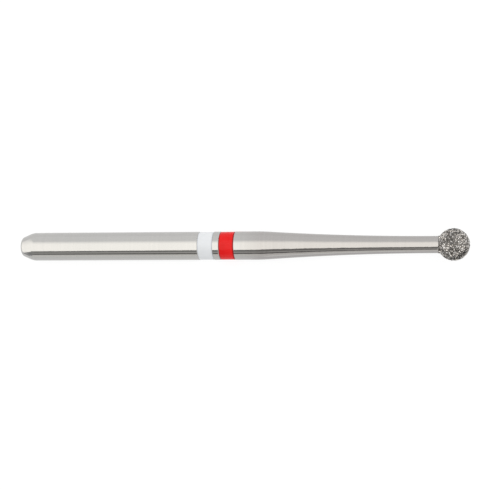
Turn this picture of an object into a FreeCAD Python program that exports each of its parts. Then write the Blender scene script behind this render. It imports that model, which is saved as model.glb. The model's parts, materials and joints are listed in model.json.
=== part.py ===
"""Dental bur with a round diamond head, an extra-long neck and a friction grip shank.

Four pieces, in millimetres. The tool's axis is +X. The origin is the centre of the shank's flat end,
and the head is at the far end.

  turned_blank      the steel rod, turned in one piece: shank, two ring grooves, neck and head core
  white_ring        lacquer that fills the first groove
  red_ring          lacquer that fills the second groove
  diamond_coating   diamond grit in plated nickel, a rough skin over the head core and a short collar
"""
import FreeCAD
import Part
import math
import os
import random
from FreeCAD import Vector

# Whole tool
overall_length = 25.72

# Shank, the part that the handpiece grips
shank_diameter = 1.6
shank_length = 13.74
end_face_diameter = 1.02
end_taper_length = 0.7
end_rim_fillet = 0.27
end_shoulder_fillet = 0.92

# Colour rings: lacquer in turned grooves that have a chamfered mouth and a slightly V-shaped floor
ring_width = 0.84
ring_gap = 0.38
rings_to_neck = 1.13
groove_side_depth = 0.08
groove_middle_depth = 0.11
groove_chamfer = 0.025
lacquer_recess = 0.015
lacquer_edge_fillet = 0.03

# Neck: a convex blend off the shank runs into one long hollow curve, then a short straight land
neck_diameter = 0.945
neck_blend_radius = 13.5
neck_land = 0.1

# Head and its abrasive skin: a plated bond, with grit that stands up out of it by up to the relief
head_diameter = 1.8
bond_thickness = 0.02
grain_relief = 0.03
grain_pitch = 0.085
collar_length = 0.12
seat_clearance = 0.002

# The grit's disorder: how far a grain strays, as a share of the pitch, and the seed of the draw
grain_wander = 0.22
grain_seed = 18

# Worked out from the sizes above
shank_radius = shank_diameter / 2
end_face_radius = end_face_diameter / 2
neck_radius = neck_diameter / 2
head_radius = head_diameter / 2
head_centre = overall_length - head_radius
coating_thickness = bond_thickness + grain_relief
core_radius = head_radius - coating_thickness
collar_radius = neck_radius + coating_thickness
seat_ball_radius = math.hypot(core_radius, grain_pitch) + seat_clearance
seat_collar_radius = math.hypot(neck_radius, grain_pitch) + seat_clearance
collar_root = head_centre - math.sqrt(head_radius**2 - collar_radius**2)
collar_start = collar_root - collar_length
neck_end = collar_start - neck_land
groove_side_radius = shank_radius - groove_side_depth
groove_middle_radius = shank_radius - groove_middle_depth
groove_mouth_radius = shank_radius - groove_chamfer
lacquer_radius = shank_radius - lacquer_recess

AXIS = Vector(1, 0, 0)
ORIGIN = Vector(0, 0, 0)
FULL_TURN = 360


def at(x, radius):
    """A point of a turned outline: distance from the shank's end, and radius."""
    return Vector(x, 0, radius)


def run(*points):
    """Straight edges from point to point."""
    return [Part.makeLine(a, b) for a, b in zip(points, points[1:])]


def bend(start, middle, end):
    """A round edge through three points."""
    return Part.Arc(start, middle, end).toShape()


def rounded(before, corner, after, radius):
    """A tangent arc for the corner of an outline, as its first, middle and last point."""
    back, ahead = (before - corner).normalize(), (after - corner).normalize()
    half = back.getAngle(ahead) / 2
    reach = radius / math.tan(half)
    inward = (back + ahead).normalize()
    to_arc = radius / math.sin(half) - radius
    return corner + back * reach, corner + inward * to_arc, corner + ahead * reach


def turn(edges):
    """The solid that a closed half outline makes when it turns about the tool's axis."""
    outline = Part.Face(Part.Wire(edges))
    return outline.revolve(ORIGIN, AXIS, FULL_TURN)


def neck_edges():
    """The neck's outline: two tangent arcs from the shank's radius down to the neck's."""
    drop = shank_radius - neck_radius
    length = neck_end - shank_length
    turned = 2 * math.atan2(drop, length)
    hollow_radius = length / math.sin(turned) - neck_blend_radius
    half = turned / 2

    def on_blend(angle):
        return at(
            shank_length + neck_blend_radius * math.sin(angle),
            shank_radius - neck_blend_radius * (1 - math.cos(angle)),
        )

    def on_hollow(angle):
        return at(
            neck_end - hollow_radius * math.sin(angle),
            neck_radius + hollow_radius * (1 - math.cos(angle)),
        )

    return [
        bend(on_blend(0), on_blend(half), on_blend(turned)),
        bend(on_hollow(turned), on_hollow(half), on_hollow(0)),
    ]


def core_edges():
    """The straight land and the ball that the coating covers."""
    root = head_centre - math.sqrt(core_radius**2 - neck_radius**2)
    return [
        *run(at(neck_end, neck_radius), at(root, neck_radius)),
        bend(at(root, neck_radius), at(head_centre, core_radius), at(head_centre + core_radius, 0)),
    ]


def ring_starts():
    """Where each colour ring's groove begins, counted back from the neck."""
    red_start = shank_length - rings_to_neck - ring_width
    return {"white_ring": red_start - ring_gap - ring_width, "red_ring": red_start}


def groove_floor(start):
    """The V-shaped floor of one ring's groove, as points. The lacquer seats on the same points."""
    return (
        at(start, groove_side_radius),
        at(start + ring_width / 2, groove_middle_radius),
        at(start + ring_width, groove_side_radius),
    )


def groove(start):
    """The stock that the turning tool takes out for one ring."""
    end = start + ring_width
    clear_radius = shank_radius + groove_chamfer
    flare = clear_radius - groove_mouth_radius
    floor = groove_floor(start)
    return turn(
        run(
            *floor,
            at(end, groove_mouth_radius),
            at(end + flare, clear_radius),
            at(start - flare, clear_radius),
            at(start, groove_mouth_radius),
            floor[0],
        )
    )


def shank_edges():
    """The shank's outline: flat end, rounded rim, taper, rounded shoulder and cylinder."""
    rim = at(0, end_face_radius)
    shoulder = at(end_taper_length, shank_radius)
    neck_start = at(shank_length, shank_radius)
    rim_arc = rounded(ORIGIN, rim, shoulder, end_rim_fillet)
    shoulder_arc = rounded(rim, shoulder, neck_start, end_shoulder_fillet)
    return [
        *run(ORIGIN, rim_arc[0]),
        bend(*rim_arc),
        *run(rim_arc[-1], shoulder_arc[0]),
        bend(*shoulder_arc),
        *run(shoulder_arc[-1], neck_start),
    ]


def turned_blank():
    """Shank, grooves, neck and head core, from one rod."""
    axis_line = run(at(head_centre + core_radius, 0), ORIGIN)
    blank = turn([*shank_edges(), *neck_edges(), *core_edges(), *axis_line])
    for start in ring_starts().values():
        blank = blank.cut(groove(start))
    return blank


def lacquer_ring(start):
    """One band of lacquer: it fills its groove nearly to the shank's surface and has rounded edges."""
    near_edge = at(start, lacquer_radius)
    far_edge = at(start + ring_width, lacquer_radius)
    floor = groove_floor(start)
    near_arc = rounded(floor[0], near_edge, far_edge, lacquer_edge_fillet)
    far_arc = rounded(near_edge, far_edge, floor[-1], lacquer_edge_fillet)
    return turn(
        [
            bend(*near_arc),
            *run(near_arc[-1], far_arc[0]),
            bend(*far_arc),
            *run(far_arc[-1], *reversed(floor), near_arc[0]),
        ]
    )


def skin_rows(collar_radius, ball_radius, relief, wander):
    """Points all over a skin, row by row, from the collar's edge to the head's far side.

    The smooth skin is a collar and a ball. Each point is sunk into it by its own depth, up to the
    relief, and strays from its place in the lattice by up to wander times the pitch. The first row
    stays in one plane.
    """
    chance = random.Random(grain_seed)
    row_step = grain_pitch * math.sqrt(3) / 2
    root_angle = math.asin(collar_radius / ball_radius)
    root = head_centre - ball_radius * math.cos(root_angle)
    collar_steps = max(1, round((root - collar_start) / row_step))
    ball_steps = max(3, round(ball_radius * (math.pi - root_angle) / row_step))
    collar_step = (root - collar_start) / collar_steps
    ball_step = (math.pi - root_angle) / ball_steps

    stations = [(collar_start + collar_step * i, collar_radius, 0, 1) for i in range(collar_steps)]
    for i in range(ball_steps):
        angle = root_angle + ball_step * i
        along, out = -math.cos(angle), math.sin(angle)
        stations.append((head_centre + ball_radius * along, ball_radius * out, along, out))

    rows = []
    for number, (x, radius, along, out) in enumerate(stations):
        count = max(5, round(2 * math.pi * radius / grain_pitch))
        offset = 0.5 * (number % 2)
        row = []
        for k in range(count):
            angle = 2 * math.pi * (k + offset + wander * chance.uniform(-1, 1)) / count
            slide = wander * grain_pitch * chance.uniform(-1, 1) if number else 0
            sunk = relief * chance.random()
            place = x - sunk * along + slide * out
            reach = radius - sunk * out - slide * along
            row.append(Vector(place, reach * math.cos(angle), reach * math.sin(angle)))
        rows.append(row)
    return rows


def lace(row, following):
    """Triangles that fill the band between two rows, stepping along whichever row lags behind."""
    triangles = []
    a = b = 0
    while a < len(row) or b < len(following):
        first, second = row[a % len(row)], following[b % len(following)]
        if b == len(following) or (a < len(row) and (a + 1) * len(following) <= (b + 1) * len(row)):
            a += 1
            triangles.append((first, row[a % len(row)], second))
        else:
            b += 1
            triangles.append((first, following[b % len(following)], second))
    return triangles


def facet(*corners):
    """A flat face with these corners."""
    return Part.Face(Part.makePolygon([*corners, corners[0]]))


def faceted_head(rows, far_side):
    """The solid inside laced rows of points, flat at the first row and closed by a point at the far side."""
    triangles = [t for row, following in zip(rows, rows[1:]) for t in lace(row, following)]
    last = rows[-1]
    triangles += [(a, b, far_side) for a, b in zip(last, [*last[1:], last[0]])]
    faces = [facet(*rows[0]), *(facet(*corners) for corners in triangles)]
    return Part.Solid(Part.makeShell(faces))


def diamond_coating():
    """The plated skin: rough with grit outside, and inside a seat that clears the round core by a hair."""
    rough = faceted_head(
        skin_rows(collar_radius, head_radius, grain_relief, grain_wander),
        Vector(overall_length, 0, 0),
    )
    seat = faceted_head(
        skin_rows(seat_collar_radius, seat_ball_radius, 0, 0),
        Vector(head_centre + seat_ball_radius, 0, 0),
    )
    return rough.cut(seat)


def main():
    pieces = {"turned_blank": turned_blank(), "diamond_coating": diamond_coating()}
    for name, start in ring_starts().items():
        pieces[name] = lacquer_ring(start)
    os.makedirs("parts", exist_ok=True)
    for name, piece in pieces.items():
        piece.exportStep(f"parts/{name}.step")
        print(name, "valid", piece.isValid(), "solids", len(piece.Solids), "volume", round(piece.Volume, 5))


main()
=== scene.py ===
import bmesh
import bpy
import json
import math
import random
from mathutils import Matrix, Vector, noise


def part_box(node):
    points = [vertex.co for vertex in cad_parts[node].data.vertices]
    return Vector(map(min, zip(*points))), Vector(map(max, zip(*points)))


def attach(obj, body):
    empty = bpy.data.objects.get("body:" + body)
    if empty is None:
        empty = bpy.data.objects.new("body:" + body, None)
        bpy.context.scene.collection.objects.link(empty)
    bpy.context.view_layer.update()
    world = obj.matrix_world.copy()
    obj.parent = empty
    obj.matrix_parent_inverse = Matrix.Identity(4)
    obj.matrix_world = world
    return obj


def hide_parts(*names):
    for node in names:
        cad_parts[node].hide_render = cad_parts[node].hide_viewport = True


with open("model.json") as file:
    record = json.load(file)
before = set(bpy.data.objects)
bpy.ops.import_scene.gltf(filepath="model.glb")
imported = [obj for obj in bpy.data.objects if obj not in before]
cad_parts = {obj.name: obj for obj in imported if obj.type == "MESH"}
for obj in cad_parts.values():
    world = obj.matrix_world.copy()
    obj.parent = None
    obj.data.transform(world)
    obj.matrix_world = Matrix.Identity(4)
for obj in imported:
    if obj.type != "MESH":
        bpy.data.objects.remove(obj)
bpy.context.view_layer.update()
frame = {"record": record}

# All sizes below are in millimetres, and MM turns them into Blender's metres.
MM = 0.001
BODY = "root"
GOLDEN_ANGLE = math.pi * (3 - math.sqrt(5))
# A point with a smaller radius than this is on the axis
ON_AXIS = 1e-9
# The Mix node's colour sockets
MIX_FIRST, MIX_SECOND, MIX_RESULT = 6, 7, 2


def node_span(node):
    """Where a CAD node begins and ends along the tool's axis."""
    low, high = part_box(node)
    return low.x / MM, high.x / MM


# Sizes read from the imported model
mounts = {mount["name"]: mount for mount in frame["record"]["mounts"]}
shank_radius = mounts["shank"]["dims"]["r_mm"]
ring_spans = {name: node_span(name) for name in ("white_ring", "red_ring")}
collar_start, overall_length = node_span("diamond_coating")

# Shank end
end_face_radius = 0.51
end_taper_length = 0.7
end_rim_fillet = 0.27
end_shoulder_fillet = 0.92

# Ring grooves and their lacquer
rings_to_neck = 1.13
groove_side_depth = 0.08
groove_middle_depth = 0.11
groove_chamfer = 0.025
lacquer_recess = 0.015
lacquer_edge_fillet = 0.03

# Neck
neck_radius = 0.4725
neck_blend_radius = 13.5
neck_land = 0.1

# Head, its plated bond, and the grains that stand up out of the bond
head_radius = 0.9
core_radius = 0.85
bond_thickness = 0.01
bond_ripple = 0.004
bond_ripple_size = 0.05
# The bond's edge on the neck: how far it leans and wanders along the axis, and how fast around the neck
collar_lean = 0.03
collar_wander = 0.035
collar_wander_pace = 3

# Grains: how far apart they sit and stray, their size and how deep their tops lie
grain_spacing = 0.104
grain_stray = 0.3 * grain_spacing
grain_radius_range = (0.046, 0.07)
grain_depth_range = (0, 0.012)
grit_seed = 31

# Grains on the collar: how high their tops lie, as a share of the coating's thickness
collar_grain_rise_range = (0.35, 1)
# How far they stray around the neck, as a share of their spacing, and how much they crowd at the edge
collar_grain_stray = 0.3
collar_grain_crowding = 1.4

# Grain shapes: how many there are, their corners, and how uneven they are
grain_shapes = 24
grain_corners = 9
grain_corner_twist = 0.5
grain_corner_range = (0.82, 1.08)
grain_stretch_range = (0.8, 1.25)

# Grain tones, as shades from black 0 to white 1: the mean, and how far clumps, grains and facets differ
grain_shade = 0.69
clump_size = 0.3
clump_shade_shift = 0.38
grain_shade_spread = 0.145
facet_shade_spread = 0.09
grain_shade_range = (0.12, 1)
facet_shade_range = (0.05, 1)
shade_gamma = 2.2
# Grains are a little yellow: how much blue one has, as a share of its red
grain_blue_range = (0.87, 0.97)

# Fineness of the meshes
turn_segments = 224
bond_segments = 200
arc_steps = 10
neck_steps = 36
collar_steps = 10
ball_steps = 80

# Edges that turn by more degrees than this stay sharp
sharp_angle = 28
bond_sharp_angle = 60

# Worked out from the sizes above
coating_thickness = head_radius - core_radius
shank_length = ring_spans["red_ring"][1] + rings_to_neck
head_centre = overall_length - head_radius
neck_end = collar_start - neck_land
bond_radius = core_radius + bond_thickness
bond_collar_radius = neck_radius + bond_thickness
collar_end = head_centre - math.sqrt(bond_radius**2 - bond_collar_radius**2)


def point(x, radius):
    """A point of a turned outline, in millimetres."""
    return Vector((x, radius))


def rounded(before, corner, after, radius):
    """Points on the tangent arc that rounds one corner of an outline."""
    back, ahead = (before - corner).normalized(), (after - corner).normalized()
    half = back.angle(ahead) / 2
    centre = corner + (back + ahead).normalized() * (radius / math.sin(half))
    first = (corner + back * (radius / math.tan(half)) - centre).normalized()
    last = (corner + ahead * (radius / math.tan(half)) - centre).normalized()
    return [centre + first.slerp(last, i / arc_steps) * radius for i in range(arc_steps + 1)]


def ball_arc(radius, stem_radius):
    """Points on a ball about the head's centre, from its stem to just short of the far pole."""
    root = math.asin(stem_radius / radius)
    angles = [root + (math.pi - root) * i / ball_steps for i in range(ball_steps)]
    return [point(head_centre - radius * math.cos(a), radius * math.sin(a)) for a in angles]


def link(name, mesh, replaced=()):
    """Puts a finished mesh into the scene, on the tool's body."""
    piece = bpy.data.objects.new(name, mesh)
    bpy.context.scene.collection.objects.link(piece)
    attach(piece, BODY)
    if replaced:
        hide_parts(*replaced)


def turned_mesh(name, outline, segments, closed=False):
    """A mesh of revolution about the X axis. An outline's point on the axis becomes one vertex."""
    mesh = bpy.data.meshes.new(name)
    build = bmesh.new()
    rings = []
    for x, radius in outline:
        if radius < ON_AXIS:
            rings.append([build.verts.new((x * MM, 0, 0))] * segments)
            continue
        ring = []
        for k in range(segments):
            angle = 2 * math.pi * k / segments
            across, up = radius * MM * math.cos(angle), radius * MM * math.sin(angle)
            ring.append(build.verts.new((x * MM, across, up)))
        rings.append(ring)
    if closed:
        rings.append(rings[0])
    for ring, following in zip(rings, rings[1:]):
        for k in range(segments):
            after = (k + 1) % segments
            corners = []
            for vertex in (ring[k], following[k], following[after], ring[after]):
                if vertex not in corners:
                    corners.append(vertex)
            build.faces.new(corners)
    bmesh.ops.recalc_face_normals(build, faces=build.faces)
    build.to_mesh(mesh)
    build.free()
    return mesh


def smooth(mesh, crease_angle):
    """Smooth shading, with edges above the given angle in degrees kept sharp."""
    mesh.shade_smooth()
    mesh.set_sharp_from_angle(angle=math.radians(crease_angle))


def groove_points(start, end):
    """One ring groove of the shank: chamfered mouth and a slightly V-shaped floor."""
    side = shank_radius - groove_side_depth
    mouth = shank_radius - groove_chamfer
    return [
        point(start - groove_chamfer, shank_radius),
        point(start, mouth),
        point(start, side),
        point((start + end) / 2, shank_radius - groove_middle_depth),
        point(end, side),
        point(end, mouth),
        point(end + groove_chamfer, shank_radius),
    ]


def neck_points():
    """The neck: a convex blend off the shank and one long hollow curve, tangent to each other."""
    drop, length = shank_radius - neck_radius, neck_end - shank_length
    turned = 2 * math.atan2(drop, length)
    hollow_radius = length / math.sin(turned) - neck_blend_radius
    angles = [turned * i / neck_steps for i in range(neck_steps + 1)]
    blend = [
        point(
            shank_length + neck_blend_radius * math.sin(a),
            shank_radius - neck_blend_radius * (1 - math.cos(a)),
        )
        for a in angles
    ]
    hollow = [
        point(neck_end - hollow_radius * math.sin(a), neck_radius + hollow_radius * (1 - math.cos(a)))
        for a in reversed(angles)
    ]
    return blend + hollow[1:]


def steel_outline():
    """Flat end, rim, taper, shoulder, both grooves, neck, and the ball under the coating."""
    middle, rim = point(0, 0), point(0, end_face_radius)
    shoulder, neck_start = point(end_taper_length, shank_radius), point(shank_length, shank_radius)
    outline = [middle]
    outline += rounded(middle, rim, shoulder, end_rim_fillet)
    outline += rounded(rim, shoulder, neck_start, end_shoulder_fillet)
    for start, end in sorted(ring_spans.values()):
        outline += groove_points(start, end)
    outline += neck_points()
    outline += ball_arc(core_radius, neck_radius)
    outline.append(point(head_centre + core_radius, 0))
    return outline


def lacquer_outline(start, end):
    """A ring's closed section: flat top with rounded edges, seated on the groove's floor."""
    top = shank_radius - lacquer_recess
    side = shank_radius - groove_side_depth
    near, far = point(start, top), point(end, top)
    near_foot, far_foot = point(start, side), point(end, side)
    floor = point((start + end) / 2, shank_radius - groove_middle_depth)
    return [
        *rounded(near_foot, near, far, lacquer_edge_fillet),
        *rounded(near, far, far_foot, lacquer_edge_fillet),
        far_foot,
        floor,
        near_foot,
    ]


def bond_outline():
    """The plated skin's section: its outside from the collar to the far pole, and back along the core."""
    collar = [
        point(
            collar_start + (collar_end - collar_start) * i / collar_steps,
            neck_radius + bond_thickness * (i + 1) / (collar_steps + 1),
        )
        for i in range(collar_steps)
    ]
    return [
        point(head_centre + core_radius, 0),
        *reversed(ball_arc(core_radius, neck_radius)),
        point(collar_start, neck_radius),
        *collar,
        *ball_arc(bond_radius, bond_collar_radius),
        point(head_centre + bond_radius, 0),
    ]


def collar_edge(angle):
    """Where the plated skin starts along the neck. The masked edge leans and wanders around the tool."""
    pace = collar_wander_pace
    wander = (1 + noise.noise(Vector((pace * math.cos(angle), pace * math.sin(angle), 0)))) / 2
    lean = (1 + math.cos(angle)) / 2
    return collar_start + collar_lean * lean + collar_wander * wander


def shape_bond(mesh):
    """Makes the bond's outside uneven, as nickel creeps up between the grains, and its edge ragged."""
    for vertex in mesh.vertices:
        place = vertex.co / MM
        on_collar = place.x < collar_end
        middle = Vector((place.x if on_collar else head_centre, 0, 0))
        out = place - middle
        skin_radius = bond_collar_radius if on_collar else bond_radius
        if out.length > skin_radius - bond_thickness / 2:
            lift = noise.noise(place / bond_ripple_size) * bond_ripple / 2
            place += out.normalized() * lift
        if on_collar:
            edge = collar_edge(math.atan2(place.z, place.y))
            share = (place.x - collar_start) / (collar_end - collar_start)
            place.x = edge + share * (collar_end - edge)
        vertex.co = place * MM


def crystal_shapes(chance):
    """A few irregular convex blocks of about unit radius, as corner lists and faces."""
    shapes = []
    for number in range(grain_shapes):
        build = bmesh.new()
        for k in range(grain_corners):
            height = 1 - 2 * (k + 0.5) / grain_corners
            ring = math.sqrt(1 - height * height)
            angle = GOLDEN_ANGLE * k + chance.uniform(-grain_corner_twist, grain_corner_twist)
            spot = Vector((ring * math.cos(angle), ring * math.sin(angle), height))
            build.verts.new(spot * chance.uniform(*grain_corner_range))
        hull = bmesh.ops.convex_hull(build, input=build.verts)
        bmesh.ops.delete(build, geom=hull["geom_interior"] + hull["geom_unused"], context="VERTS")
        bmesh.ops.recalc_face_normals(build, faces=build.faces)
        build.verts.index_update()
        corners = [v.co.copy() for v in build.verts]
        faces = [[v.index for v in f.verts] for f in build.faces]
        build.free()
        shapes.append((corners, faces))
    return shapes


def grain_seats(chance):
    """Where each grain sits: a place on the smooth skin and the way out of it."""
    seats = []
    cell = grain_spacing * grain_spacing * math.sqrt(3) / 2
    root = math.asin(bond_collar_radius / head_radius)
    count = round(4 * math.pi * head_radius**2 / cell)
    for k in range(count):
        along = -1 + 2 * (k + 0.5) / count
        if along < -math.cos(root):
            continue
        angle = GOLDEN_ANGLE * k
        ring = math.sqrt(1 - along * along)
        out = Vector((along, ring * math.cos(angle), ring * math.sin(angle)))
        shift = Vector([chance.uniform(-grain_stray, grain_stray) for axis in range(3)])
        out = (out * head_radius + shift).normalized()
        seats.append((Vector((head_centre, 0, 0)) + out * head_radius, out))
    least, most = collar_grain_rise_range
    around = round(2 * math.pi * bond_collar_radius * (collar_end - collar_start) / cell)
    for k in range(around):
        angle = 2 * math.pi * (k + chance.uniform(-collar_grain_stray, collar_grain_stray)) / around
        share = chance.random() ** collar_grain_crowding
        edge = collar_edge(angle)
        out = Vector((0, math.cos(angle), math.sin(angle)))
        top = neck_radius + coating_thickness * (least + share * (most - least))
        seats.append((Vector((edge + share * (collar_end - edge), 0, 0)) + out * top, out))
    return seats


def near(chance, middle, spread, limits):
    """A random number around the middle, kept inside the limits."""
    low, high = limits
    return min(max(chance.gauss(middle, spread), low), high)


def grit_mesh():
    """Every diamond grain as its own block, with a grey of its own on each facet."""
    chance = random.Random(grit_seed)
    shapes = crystal_shapes(chance)
    vertices, faces, tones = [], [], []
    for seat, out in grain_seats(chance):
        corners, sides = shapes[chance.randrange(len(shapes))]
        size = chance.uniform(*grain_radius_range)
        turn = chance.uniform(0, 2 * math.pi)
        pivot = Vector([chance.gauss(0, 1) for axis in range(3)]).normalized()
        spin = Matrix.Rotation(turn, 3, pivot)
        stretch = Vector([chance.uniform(*grain_stretch_range) for axis in range(3)])
        block = [spin @ Vector([c * s for c, s in zip(corner, stretch)]) * size for corner in corners]
        highest = max(corner.dot(out) for corner in block)
        drop = highest + chance.uniform(*grain_depth_range)
        first = len(vertices)
        vertices += [(seat + corner - out * drop) * MM for corner in block]
        clump_shade = grain_shade + clump_shade_shift * noise.noise(seat / clump_size)
        own_shade = near(chance, clump_shade, grain_shade_spread, grain_shade_range)
        blue = chance.uniform(*grain_blue_range)
        for side in sides:
            faces.append([first + i for i in side])
            level = near(chance, own_shade, facet_shade_spread, facet_shade_range) ** shade_gamma
            tones.append((level, level * (1 + blue) / 2, level * blue, 1))
    mesh = bpy.data.meshes.new("diamond_grit")
    mesh.from_pydata(vertices, [], faces)
    colours = mesh.attributes.new("grain_tone", "FLOAT_COLOR", "FACE")
    for i, tone in enumerate(tones):
        colours.data[i].color = tone
    mesh.shade_flat()
    return mesh


# Materials

# Steel and nickel: the darkest and the lightest colour of each. The nickel's are kept dark as painted
# shade of the pits between the grains.
polished_steel = ((0.505, 0.5, 0.487), (0.535, 0.528, 0.513))
dull_steel = ((0.437, 0.422, 0.41), (0.472, 0.455, 0.443))
nickel_with_pit_shade = ((0.06, 0.055, 0.051), (0.16, 0.149, 0.139))

# How far past the rings the polish fades out, and the depth of the shank's dents as a share of the neck's
polish_fade = 1.5
shank_dent_share = 0.2

# Lacquers by ring: the slot, and the colour where the coat is thin, where it is thick and at its edges,
# the last darker as painted shade of the groove's walls
lacquers = {
    "white_ring": ("white_lacquer", (0.785, 0.8, 0.815), (0.81, 0.825, 0.84), (0.7, 0.735, 0.785)),
    "red_ring": ("red_lacquer", (0.77, 0.004, 0.004), (0.85, 0.008, 0.008), (0.26, 0.002, 0.002)),
}
# How far in from each edge the painted edge shade reaches
lacquer_edge_shade_width = 0.085
lacquer_ior = 1.3

# How metallic the bond and the grit are, from 0 to 1
bond_metallic = 0.8
grit_metallic = 0.82

# Noises: scale per metre, how it is multiplied along X, Y and Z, and detail
polish_clouds = (900, (0.35, 1, 1), 4)
turning_marks = (7000, (1, 0.02, 0.02), 3)
steel_dents = (2400, (1, 1, 1), 2)
coat_clouds = (1600, (1, 1, 1), 3)
coat_ripple = (5200, (1, 1, 1), 2)
nickel_clouds = (9000, (1, 1, 1), 4)
nickel_grain = (30000, (1, 1, 1), 3)
grit_spots = (26000, (1, 1, 1), 3)

# The range that a noise's values mostly keep to, and a narrower one for more contrast
usual_range = (0.3, 0.7)
narrow_range = (0.35, 0.65)

# Roughness over that range, and how far spots darken and lighten a grain
steel_roughness = (0.07, 0.11)
lacquer_roughness = (0.2, 0.28)
bond_roughness = (0.35, 0.55)
grit_roughness = (0.22, 0.4)
grit_shading = (0.8, 1.15)

# Relief in the materials: its depth and its strength
dent_relief = (0.007, 1)
coat_relief = (0.002, 0.4)
nickel_relief = (0.006, 0.6)


def new_material(name):
    """A material with its Principled shader."""
    material = bpy.data.materials.new(name)
    material.use_nodes = True
    tree = material.node_tree
    return material, tree, tree.nodes["Principled BSDF"]


def add(tree, kind, **settings):
    """A node with its settings, each an attribute or an input by name."""
    node = tree.nodes.new(kind)
    for key, value in settings.items():
        if hasattr(node, key):
            setattr(node, key, value)
        else:
            node.inputs[key].default_value = value
    return node


def stretched_noise(tree, scale, stretch, detail):
    """Noise in the object's own coordinates, scaled apart along and across the axis, per metre."""
    place = tree.nodes.new("ShaderNodeTexCoord")
    spread = add(tree, "ShaderNodeVectorMath", operation="MULTIPLY")
    spread.inputs[1].default_value = stretch
    tree.links.new(place.outputs["Object"], spread.inputs[0])
    grain = add(tree, "ShaderNodeTexNoise", Scale=scale, Detail=detail)
    tree.links.new(spread.outputs[0], grain.inputs["Vector"])
    return grain.outputs["Fac"]


def ramp(tree, source, span, new_span=(0, 1), shape="LINEAR"):
    """Maps one range of numbers to another, and keeps to its ends."""
    node = add(tree, "ShaderNodeMapRange", interpolation_type=shape)
    for key, value in zip(("From Min", "From Max", "To Min", "To Max"), (*span, *new_span)):
        node.inputs[key].default_value = value
    tree.links.new(source, node.inputs["Value"])
    return node.outputs["Result"]


def mix_colour(tree, factor, first, second):
    """Blends two colours by a factor. Each is three numbers or another node's output."""
    node = add(tree, "ShaderNodeMix", data_type="RGBA")
    tree.links.new(factor, node.inputs["Factor"])
    for place, colour in ((MIX_FIRST, first), (MIX_SECOND, second)):
        if isinstance(colour, tuple):
            node.inputs[place].default_value = (*colour, 1)
        else:
            tree.links.new(colour, node.inputs[place])
    return node.outputs[MIX_RESULT]


def calculate(tree, operation, *values):
    """One step of arithmetic. Each value is a number or another node's output."""
    node = add(tree, "ShaderNodeMath", operation=operation)
    for place, value in enumerate(values):
        if isinstance(value, (int, float)):
            node.inputs[place].default_value = value
        else:
            tree.links.new(value, node.inputs[place])
    return node.outputs[0]


def position(tree, axis):
    """One of the object's own coordinates, in metres."""
    place = tree.nodes.new("ShaderNodeTexCoord")
    split = tree.nodes.new("ShaderNodeSeparateXYZ")
    tree.links.new(place.outputs["Object"], split.inputs[0])
    return split.outputs[axis]


def bump(tree, shader, height, depth, strength):
    """Fine relief on the shader's normal, with its depth in millimetres."""
    node = add(tree, "ShaderNodeBump", Distance=depth * MM, Strength=strength)
    tree.links.new(height, node.inputs["Height"])
    tree.links.new(node.outputs["Normal"], shader.inputs["Normal"])


def steel_material():
    """Turned and polished steel: fine marks around it, a cloudy polish, and a duller, less even neck."""
    material, tree, shader = new_material("turned_steel")
    shader.inputs["Metallic"].default_value = 1
    clouds = stretched_noise(tree, *polish_clouds)
    marks = stretched_noise(tree, *turning_marks)
    halves = [ramp(tree, values, usual_range, (0, 0.5)) for values in (clouds, marks)]
    tint = calculate(tree, "ADD", *halves)
    polished = mix_colour(tree, tint, *polished_steel)
    dull = mix_colour(tree, tint, *dull_steel)
    last_ring_end = max(end for start, end in ring_spans.values())
    on_neck = ramp(tree, position(tree, "X"), (last_ring_end * MM, (last_ring_end + polish_fade) * MM))
    tree.links.new(mix_colour(tree, on_neck, polished, dull), shader.inputs["Base Color"])
    tree.links.new(ramp(tree, clouds, usual_range, steel_roughness), shader.inputs["Roughness"])
    dents = stretched_noise(tree, *steel_dents)
    share = ramp(tree, on_neck, (0, 1), (shank_dent_share, 1))
    bump(tree, shader, calculate(tree, "MULTIPLY", dents, share), *dent_relief)
    return material


def lacquer_material(name, span, thin, thick, edge):
    """Glossy lacquer with a slightly uneven coat, and a darker colour at the edges that is painted shade
    of the groove's walls.
    """
    material, tree, shader = new_material(name)
    start, end = span
    half = (end - start) / 2
    shader.inputs["IOR"].default_value = lacquer_ior
    clouds = stretched_noise(tree, *coat_clouds)
    coat = mix_colour(tree, ramp(tree, clouds, usual_range), thin, thick)
    off_middle = calculate(tree, "SUBTRACT", position(tree, "X"), (start + end) / 2 * MM)
    distance = calculate(tree, "ABSOLUTE", off_middle)
    # Painted shade: the colour darkens towards the band's edges, where the groove's walls shade it
    painted_edge_shade = ramp(tree, distance, ((half - lacquer_edge_shade_width) * MM, half * MM))
    tree.links.new(mix_colour(tree, painted_edge_shade, coat, edge), shader.inputs["Base Color"])
    tree.links.new(ramp(tree, clouds, usual_range, lacquer_roughness), shader.inputs["Roughness"])
    bump(tree, shader, stretched_noise(tree, *coat_ripple), *coat_relief)
    return material


def bond_material():
    """Plated nickel between the grains: dull and grainy, its dark colour partly the nickel's own and
    partly painted shade of the pits between the grains.
    """
    material, tree, shader = new_material("nickel_bond")
    shader.inputs["Metallic"].default_value = bond_metallic
    clouds = stretched_noise(tree, *nickel_clouds)
    # The dark bond colour is partly painted shade of the pits between the grains
    colour = mix_colour(tree, ramp(tree, clouds, narrow_range), *nickel_with_pit_shade)
    tree.links.new(colour, shader.inputs["Base Color"])
    tree.links.new(ramp(tree, clouds, usual_range, bond_roughness), shader.inputs["Roughness"])
    bump(tree, shader, stretched_noise(tree, *nickel_grain), *nickel_relief)
    return material


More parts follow.
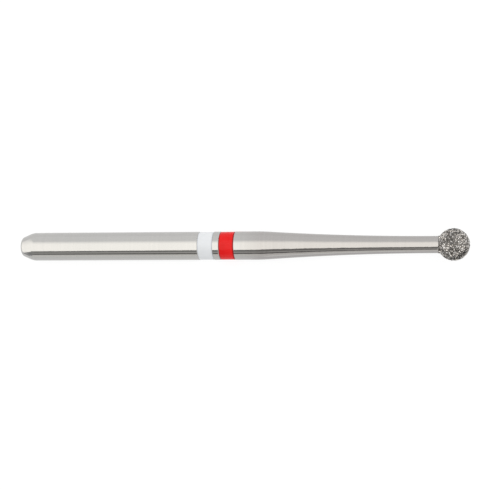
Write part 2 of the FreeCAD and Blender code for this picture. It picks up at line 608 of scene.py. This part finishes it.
def grit_material():
    """Diamond grains: each facet keeps its own grey, with faint spots inside it."""
    material, tree, shader = new_material("diamond_grit")
    shader.inputs["Metallic"].default_value = grit_metallic
    tone = add(tree, "ShaderNodeAttribute", attribute_name="grain_tone")
    spots = stretched_noise(tree, *grit_spots)
    shaded = add(tree, "ShaderNodeVectorMath", operation="SCALE")
    tree.links.new(tone.outputs["Color"], shaded.inputs[0])
    tree.links.new(ramp(tree, spots, usual_range, grit_shading), shaded.inputs["Scale"])
    tree.links.new(shaded.outputs[0], shader.inputs["Base Color"])
    tree.links.new(ramp(tree, spots, usual_range, grit_roughness), shader.inputs["Roughness"])
    return material


# Stage

# Camera: its sensor, the picture's width and focal length in pixels, and the nearest and farthest view
sensor_width = 36
picture_pixels = 490
focal_pixels = 1565
camera_reach = (1, 100000)
camera_distance = 88.1
camera_tilt = math.radians(11.5)
camera_roll = math.radians(0.33)
camera_target = Vector((13.145, 0.034, 0))

# Floor: half its width, its level, and its colour for soft light
floor_half = 3000
floor_level = -head_radius
floor_albedo = 0.9
# How much the floor glows by itself, and how bright it is in the open, as seen and as mirrored
floor_seen = (0.85, 1.07)
floor_mirrored = (0.35, 0.97)

# Surroundings: their level as seen, and as soft light from the side that they lean to and its opposite
surround_seen = 1
surround_diffuse = (0.4, 1.22)
surround_lean = (0.55, 0.6, 0.58)

# Overhead softbox: its near edge runs askew through two points, as X and Y, and it fades along Y
softbox_colour = (1.65, 1.62, 1.56)
softbox_height = 450
softbox_left = -1680
softbox_right = 780
softbox_near_edge = ((-195, -346), (-20, -271))
softbox_fade = (120, 483)

# Upright softboxes beyond both ends: X, the reach in Y and in Z, the fade's ends in Y, and its lean
upright_softboxes = {
    "near_side_softbox": (-600, (-950, 5), (30, 720), (-190, 830), 0.6),
    "far_side_softbox": (-190, (0, 317), (2, 390), (-60, 263), 0.6),
    "head_softbox": (500, (-250, 700), (120, 800), (300, 700), 0),
}

# A dark card on the near side, with a leaning left edge, and its brightness by elevation in degrees
card_y = -360
card_left_low = -190
card_left_high = -496
card_right = 500
card_high = 64
card_levels = (
    (0, 0.88), (11, 0.85), (17.8, 0.8), (19.4, 0.26), (21, 0.16), (27.5, 0.17), (32, 0.48),
    (35, 0.6), (38, 0.47), (43, 0.24), (50, 0.26), (62, 0.34),
)
# The card's tint, and how far its stripes waver, as a share of its height, with which noise
card_tint = (1, 0.985, 0.955)
card_wave = 0.02
card_noise = (30, (1, 0, 0.15), 2)

# Flat cards just over the floor, for the tool's lower reflections: their level, and their corners' X and Y
flag_lift = 0.01
flat_flags = {
    "shank_flag": (0.86, ((-30, -0.9), (13.3, -0.9), (13.3, -60), (-30, -60))),
    "neck_flag": (0.79, ((13.3, -0.9), (24, -0.9), (24, -5), (13.3, -5))),
    "neck_reflector": (1.04, ((13.6, -5), (24, -5), (24, -60), (13.6, -60))),
    # The two head flags are painted shadow: the floor beside the head, shaded by it, as the grains mirror
    # it
    "head_shadow_flag": (0.16, ((24, -0.9), (30, -0.9), (30, -14), (24, -14))),
    "far_head_shadow_flag": (0.3, ((24, 0.9), (30, 0.9), (30, 14), (24, 14))),
    "end_flag": (0.32, ((-3.2, -4.3), (-6, -5.2), (-60, -46), (-60, -66), (-4, -6))),
}

# An upright flag before the dark card, by azimuth from -X and elevation, both in degrees
low_flag_level = 0.32
low_flag_gap = 1
low_flag_outline = (
    (61, 0), (61, 14), (52, 34), (44, 32.5), (37, 22.5), (32.5, 12), (32.5, 6), (36, 3.5), (36.5, 0)
)


def make_camera():
    """The photo's view: from above, leaning towards the head."""
    data = bpy.data.cameras.new("camera")
    data.sensor_width = sensor_width
    data.lens = sensor_width * focal_pixels / picture_pixels
    data.clip_start, data.clip_end = [distance * MM for distance in camera_reach]
    camera = bpy.data.objects.new("camera", data)
    bpy.context.scene.collection.objects.link(camera)
    back = Vector((math.sin(camera_tilt), 0, math.cos(camera_tilt)))
    right = Vector((0, 1, 0)).cross(back)
    turn = Matrix((right, back.cross(right), back)).transposed() @ Matrix.Rotation(-camera_roll, 3, "Z")
    camera.matrix_world = Matrix.Translation((camera_target + back * camera_distance) * MM) @ turn.to_4x4()
    bpy.context.scene.camera = camera


def seen_or_mirrored(tree):
    """1 for rays from the camera, mirrors and glass, and 0 for the rest."""
    path = tree.nodes.new("ShaderNodeLightPath")
    plain = calculate(tree, "MAXIMUM", path.outputs["Is Camera Ray"], path.outputs["Is Glossy Ray"])
    return calculate(tree, "MAXIMUM", plain, path.outputs["Is Transmission Ray"])


def make_world():
    """White surroundings: even where they are seen or mirrored, and leaning as soft light."""
    world = bpy.data.worlds.new("surroundings")
    bpy.context.scene.world = world
    world.use_nodes = True
    tree = world.node_tree
    background = tree.nodes["Background"]
    background.inputs["Color"].default_value = (1, 1, 1, 1)
    place = tree.nodes.new("ShaderNodeTexCoord")
    lean = add(tree, "ShaderNodeVectorMath", operation="DOT_PRODUCT")
    lean.inputs[1].default_value = surround_lean
    tree.links.new(place.outputs["Generated"], lean.inputs[0])
    soft = ramp(tree, lean.outputs["Value"], (-1, 1), surround_diffuse)
    seen = seen_or_mirrored(tree)
    plain = calculate(tree, "MULTIPLY", calculate(tree, "SUBTRACT", 1, seen), soft)
    strength = calculate(tree, "MULTIPLY_ADD", seen, surround_seen, plain)
    tree.links.new(strength, background.inputs["Strength"])


def stage_sheet(name, corners, material):
    """A flat piece of the stage."""
    mesh = bpy.data.meshes.new(name)
    mesh.from_pydata([Vector(corner) * MM for corner in corners], [], [range(len(corners))])
    mesh.materials.append(material)
    sheet = bpy.data.objects.new(name, mesh)
    bpy.context.scene.collection.objects.link(sheet)
    return sheet


def shader_tree(name):
    """A material with only its output node."""
    material = bpy.data.materials.new(name)
    material.use_nodes = True
    tree = material.node_tree
    tree.nodes.remove(tree.nodes["Principled BSDF"])
    return material, tree, tree.nodes["Material Output"].inputs["Surface"]


def mix_shader(tree, factor, first, second):
    """The first shader where the factor is 0, and the second where it is 1."""
    pick = tree.nodes.new("ShaderNodeMixShader")
    tree.links.new(factor, pick.inputs[0])
    tree.links.new(first, pick.inputs[1])
    tree.links.new(second, pick.inputs[2])
    return pick.outputs[0]


def half_glowing(tree, glow, level):
    """A white of the given level in the open: a share of it glows, and the rest keeps shadows."""
    share = level - glow
    lit = add(tree, "ShaderNodeBsdfDiffuse", Color=(share, share, share, 1))
    glowing = add(tree, "ShaderNodeEmission", Strength=glow)
    both = tree.nodes.new("ShaderNodeAddShader")
    tree.links.new(lit.outputs[0], both.inputs[0])
    tree.links.new(glowing.outputs[0], both.inputs[1])
    return both.outputs[0]


def make_floor():
    """A white floor that keeps a faint shadow under the tool."""
    material, tree, output = shader_tree("floor")
    lit = add(tree, "ShaderNodeBsdfDiffuse", Color=(floor_albedo, floor_albedo, floor_albedo, 1))
    seen = half_glowing(tree, *floor_seen)
    mirrored = half_glowing(tree, *floor_mirrored)
    path = tree.nodes.new("ShaderNodeLightPath")
    either = mix_shader(tree, path.outputs["Is Glossy Ray"], seen, mirrored)
    tree.links.new(mix_shader(tree, seen_or_mirrored(tree), lit.outputs[0], either), output)
    h, z = floor_half, floor_level
    stage_sheet("floor", [(-h, -h, z), (h, -h, z), (h, h, z), (-h, h, z)], material)


def only_mirrored(sheet):
    """Leaves a piece of the stage to reflections alone: no view of it, no soft light and no shadow."""
    sheet.visible_camera = False
    sheet.visible_diffuse = False
    sheet.visible_shadow = False


def make_softbox(name, corners, fade, lean=0):
    """A glowing sheet that fades to plain white along Y. The lean times the height shifts the fade."""
    material, tree, output = shader_tree(name)
    along = calculate(tree, "MULTIPLY_ADD", position(tree, "Z"), -lean, position(tree, "Y"))
    share = ramp(tree, along, [y * MM for y in fade], (1, 0), "SMOOTHSTEP")
    light = tree.nodes.new("ShaderNodeEmission")
    tree.links.new(mix_colour(tree, share, (1, 1, 1), softbox_colour), light.inputs["Color"])
    tree.links.new(light.outputs[0], output)
    only_mirrored(stage_sheet(name, corners, material))


def make_softboxes():
    """The overhead softbox, and the upright ones beyond the tool's ends."""
    (x0, y0), (x1, y1) = softbox_near_edge
    slope = (y1 - y0) / (x1 - x0)
    far, z = softbox_fade[1], softbox_height
    corners = [(x, far, z) for x in (softbox_left, softbox_right)]
    corners += [(x, y0 + slope * (x - x0), z) for x in (softbox_right, softbox_left)]
    make_softbox("softbox", corners, softbox_fade)
    for name, (x, (near_y, far_y), (low, high), fade, lean) in upright_softboxes.items():
        corners = [(x, near_y, low), (x, far_y, low), (x, far_y, high), (x, near_y, high)]
        make_softbox(name, corners, fade, lean)


def make_card():
    """A dark card on the near side that only reflections see."""
    material, tree, output = shader_tree("dark_card")
    top = -card_y * math.tan(math.radians(card_high))
    share = ramp(tree, position(tree, "Z"), (0, top * MM))
    waver = ramp(tree, stretched_noise(tree, *card_noise), (0, 1), (-card_wave, card_wave))
    stripes = tree.nodes.new("ShaderNodeValToRGB")
    tree.links.new(calculate(tree, "ADD", share, waver), stripes.inputs["Fac"])
    stops = stripes.color_ramp.elements
    # New stops start halfway, until each gets its own place
    while len(stops) < len(card_levels):
        stops.new(0.5)
    for stop, (elevation, level) in zip(stops, card_levels):
        stop.position = math.tan(math.radians(elevation)) / math.tan(math.radians(card_high))
        stop.color = (*(level * part for part in card_tint), 1)
    light = tree.nodes.new("ShaderNodeEmission")
    tree.links.new(stripes.outputs["Color"], light.inputs["Color"])
    tree.links.new(light.outputs[0], output)
    bottom = [(x, card_y, floor_level) for x in (card_left_low, card_right)]
    corners = [*bottom, (card_right, card_y, top), (card_left_high, card_y, top)]
    only_mirrored(stage_sheet("dark_card", corners, material))


def make_flag(name, corners, level):
    """An evenly grey card that only reflections see."""
    material, tree, output = shader_tree(name)
    glow = add(tree, "ShaderNodeEmission", Color=(level, level, level, 1))
    tree.links.new(glow.outputs[0], output)
    only_mirrored(stage_sheet(name, corners, material))


def make_flags():
    """The flat cards, each a little over the one before, and the upright flag."""
    for number, (name, (level, corners)) in enumerate(flat_flags.items(), start=1):
        make_flag(name, [(x, y, floor_level + flag_lift * number) for x, y in corners], level)
    distance = -card_y - low_flag_gap
    corners = []
    for azimuth, elevation in low_flag_outline:
        angle = math.radians(azimuth)
        rise = math.tan(math.radians(elevation)) / math.sin(angle)
        corners.append(Vector((-1 / math.tan(angle), -1, rise)) * distance)
    make_flag("low_flag", corners, low_flag_level)


def make_tool():
    """The tool's pieces."""
    steel = turned_mesh("turned_steel", steel_outline(), turn_segments)
    smooth(steel, sharp_angle)
    steel.materials.append(steel_material())
    link("turned_steel", steel, ["turned_blank"])

    for node, (slot, *colours) in lacquers.items():
        band = turned_mesh(slot + "_band", lacquer_outline(*ring_spans[node]), turn_segments, closed=True)
        smooth(band, sharp_angle)
        band.materials.append(lacquer_material(slot, ring_spans[node], *colours))
        link(slot + "_band", band, [node])

    bond = turned_mesh("nickel_bond", bond_outline(), bond_segments)
    shape_bond(bond)
    smooth(bond, bond_sharp_angle)
    bond.materials.append(bond_material())
    link("nickel_bond", bond, ["diamond_coating"])

    grit = grit_mesh()
    grit.materials.append(grit_material())
    link("diamond_grit", grit)


bpy.context.scene.view_settings.view_transform = "Standard"
make_camera()
make_world()
make_floor()
make_softboxes()
make_card()
make_flags()
make_tool()
